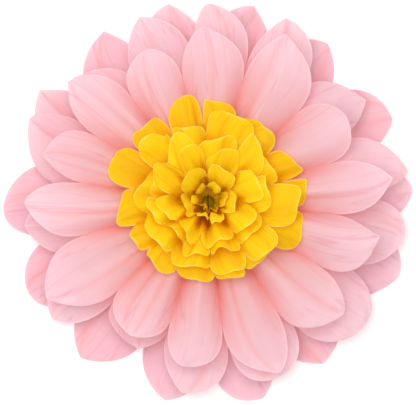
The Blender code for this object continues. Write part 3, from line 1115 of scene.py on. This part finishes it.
@dataclass
class BindingWire:
    """The tie: a loop round the waist of all the sheets, its two ends twisted below it."""

    nest: Nest
    steps_per_turn: int = 20
    rounding: int = 3
    bevel: int = 5

    def along(self, index: int, above: int) -> list[tuple[float, float]]:
        """The wire's points along a sheet's neck.

        Args:
            index: The sheet's number from below.
            above: 1 for a wire that runs above the sheet, -1 for one below it.

        Returns:
            For each point, how far out it lies and its height.
        """
        across = np.array([0, NECK_RADIUS - SLIT_TAPER, NECK_RADIUS])
        distance = across / math.cos(self.nest.slope_at_tie(index))
        slit = np.full(len(across), SLIT_AZIMUTH)
        slopes = self.nest.elevation(index, distance, slit)
        across, height = place(distance, SLIT_AZIMUTH, slopes).T[1:]
        steepest = np.abs(np.diff(height) / np.diff(across)).max()
        away = PAPER_THICKNESS / 2 + WIRE_CLEARANCE + WIRE_DIAMETER / 2
        return list(zip(across, height + above * away * math.hypot(1, steepest)))

    def route(self) -> list[Vector]:
        """Works out the wire's centre line.

        Returns:
            Its points from one twisted end round the waist to the other.
        """
        below = self.along(0, -1)
        above = self.along(len(self.nest.plans) - 1, 1)
        side = NECK_RADIUS + WIRE_CLEARANCE + WIRE_DIAMETER / 2
        corners = [(side, below[-1][1] + WIRE_DIAMETER), (side, above[-1][1] - WIRE_DIAMETER)]
        half = below + corners + above[::-1]
        strand = WIRE_DIAMETER / 2 + STRAND_CLEARANCE
        twist_height = half[0][1] - strand
        steps = int(self.steps_per_turn * TWIST_TURNS)
        twist = []
        for step in range(steps + 1):
            turn = 2 * math.pi * TWIST_TURNS * step / steps
            out = TWIST_START + TWIST_LENGTH * step / steps
            twist.append((out, strand * math.cos(turn), strand * math.sin(turn)))
        points = [(x, y, twist_height + z) for x, y, z in reversed(twist)]
        points += [(0, y, z) for y, z in half[1:]]
        points += [(0, -y, z) for y, z in reversed(half[1:-1])]
        points += [(x, -y, twist_height - z) for x, y, z in twist]
        return [Vector(point) + Vector((0, 0, self.nest.shift)) for point in points]

    def rounded(self, points: list[Vector]) -> list[Vector]:
        """Cuts the corners of a line round, as soft wire bends.

        Args:
            points: The line's points.

        Returns:
            The points of the rounded line, with the same two ends.
        """
        for _ in range(self.rounding):
            cut = [points[0]]
            for start, end in zip(points, points[1:]):
                cut += [start.lerp(end, 0.25), start.lerp(end, 0.75)]
            points = cut + [points[-1]]
        return points

    def build(self) -> bpy.types.Object:
        """Bends the wire and dresses it.

        Returns:
            The wire's object.
        """
        points = self.rounded(self.route())
        curve = bpy.data.curves.new("binding_wire_drawn", "CURVE")
        curve.dimensions = "3D"
        curve.bevel_depth = WIRE_DIAMETER / 2
        curve.bevel_resolution = self.bevel
        curve.use_fill_caps = True
        line = curve.splines.new("POLY")
        line.points.add(len(points) - 1)
        for knot, point in zip(line.points, points):
            knot.co = (*point, 1)
        curve.materials.append(WireFinish().material())
        made = add_object("binding_wire_drawn", curve)
        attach(made, "root")
        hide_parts("binding_wire")
        LOG.info("%s: %d points", made.name, len(points))
        return made


@dataclass(frozen=True)
class SweepFinish:
    """White matt paper sweep of a studio, rolled out plain.

    The eye sees white wherever no shadow falls on it, which the lift adds for the camera only.
    """

    name: str = "white paper sweep"
    colour: str = "#F2F2F2"
    lift: float = 0.13

    def material(self) -> bpy.types.Material:
        """Makes the sweep's material.

        Returns:
            The material.
        """
        made = blank_material(self.name)
        tree = made.node_tree
        strength = add_node(tree, "Math", {0: shown_directly(tree), 1: self.lift},
                            operation="MULTIPLY")
        paper = add_node(tree, "BsdfDiffuse", {"Color": (*linear(self.colour), 1)})
        glow = add_node(tree, "Emission", {"Strength": strength.outputs[0]})
        both = add_node(tree, "AddShader", {0: paper.outputs[0], 1: glow.outputs[0]})
        add_node(tree, "OutputMaterial", {0: both.outputs[0]})
        return made


@dataclass
class Studio:
    """The plain floor, the soft light and the camera that looks straight down."""

    floor_size: float = 8.0
    sky: float = 0.75
    key_power: float = 12.0
    key_size: float = 0.8
    key_place: tuple[float, float, float] = (-0.14, 0.18, 1.35)
    lens: float = 300.0
    sensor: float = 36.0
    focus_height: float = 20 * MM

    def floor(self) -> bpy.types.Object:
        """Lays the floor under the lowest paper.

        Returns:
            The floor's object.
        """
        half = self.floor_size / 2
        corners = [(-half, -half, 0), (half, -half, 0), (half, half, 0), (-half, half, 0)]
        mesh = bpy.data.meshes.new("floor")
        mesh.from_pydata(corners, [], [(0, 1, 2, 3)])
        mesh.materials.append(SweepFinish().material())
        made = add_object("floor", mesh)
        return made

    def surround(self) -> None:
        """A white surround that lights the flower from all sides."""
        world = bpy.data.worlds.new("studio")
        bpy.context.scene.world = world
        world.use_nodes = True
        tree = world.node_tree
        tree.nodes.clear()
        strength = add_node(tree, "MapRange", {0: shown_directly(tree), 3: self.sky, 4: 1.0})
        sky = add_node(tree, "Background", {"Color": (1, 1, 1, 1),
                                            "Strength": strength.outputs[0]})
        add_node(tree, "OutputWorld", {0: sky.outputs[0]})

    def key(self) -> bpy.types.Object:
        """Hangs one large soft lamp above the flower, a little to the upper left.

        Returns:
            The lamp's object.
        """
        lamp = bpy.data.lights.new("key", "AREA")
        lamp.energy = self.key_power
        lamp.size = self.key_size
        made = add_object("key", lamp)
        made.location = self.key_place
        towards = Vector((0, 0, self.focus_height)) - made.location
        made.rotation_euler = towards.to_track_quat("-Z", "Y").to_euler()
        return made

    def camera(self) -> bpy.types.Object:
        """Sets the camera straight above the flower, framed as the photograph is.

        Returns:
            The camera's object.
        """
        view = bpy.data.cameras.new("camera")
        view.lens = self.lens
        view.sensor_width = self.sensor
        made = add_object("camera", view)
        metres_per_px = FLOWER_WIDTH / FLOWER_WIDTH_PX
        frame_width = IMAGE_WIDTH * metres_per_px
        above = frame_width * self.lens / self.sensor
        across = (IMAGE_WIDTH / 2 - FLOWER_CENTRE_PX[0]) * metres_per_px
        up = (FLOWER_CENTRE_PX[1] - IMAGE_HEIGHT / 2) * metres_per_px
        made.location = (across, up, self.focus_height + above)
        bpy.context.scene.camera = made
        return made

    def build(self) -> None:
        """Sets up the whole studio."""
        self.floor()
        self.surround()
        self.key()
        self.camera()
        bpy.context.scene.view_settings.view_transform = "Standard"
        LOG.info("studio: floor, surround, key lamp and camera")


def main() -> None:
    """Builds the studio, the nine sheets from below and the wire."""
    logging.basicConfig(level=logging.INFO, format="%(name)s: %(message)s")
    Studio().build()
    nest = Nest(PLANS)
    for index in range(len(PLANS)):
        TissueSheet(nest, index).build()
    BindingWire(nest).build()


if __name__ == "__main__":
    main()
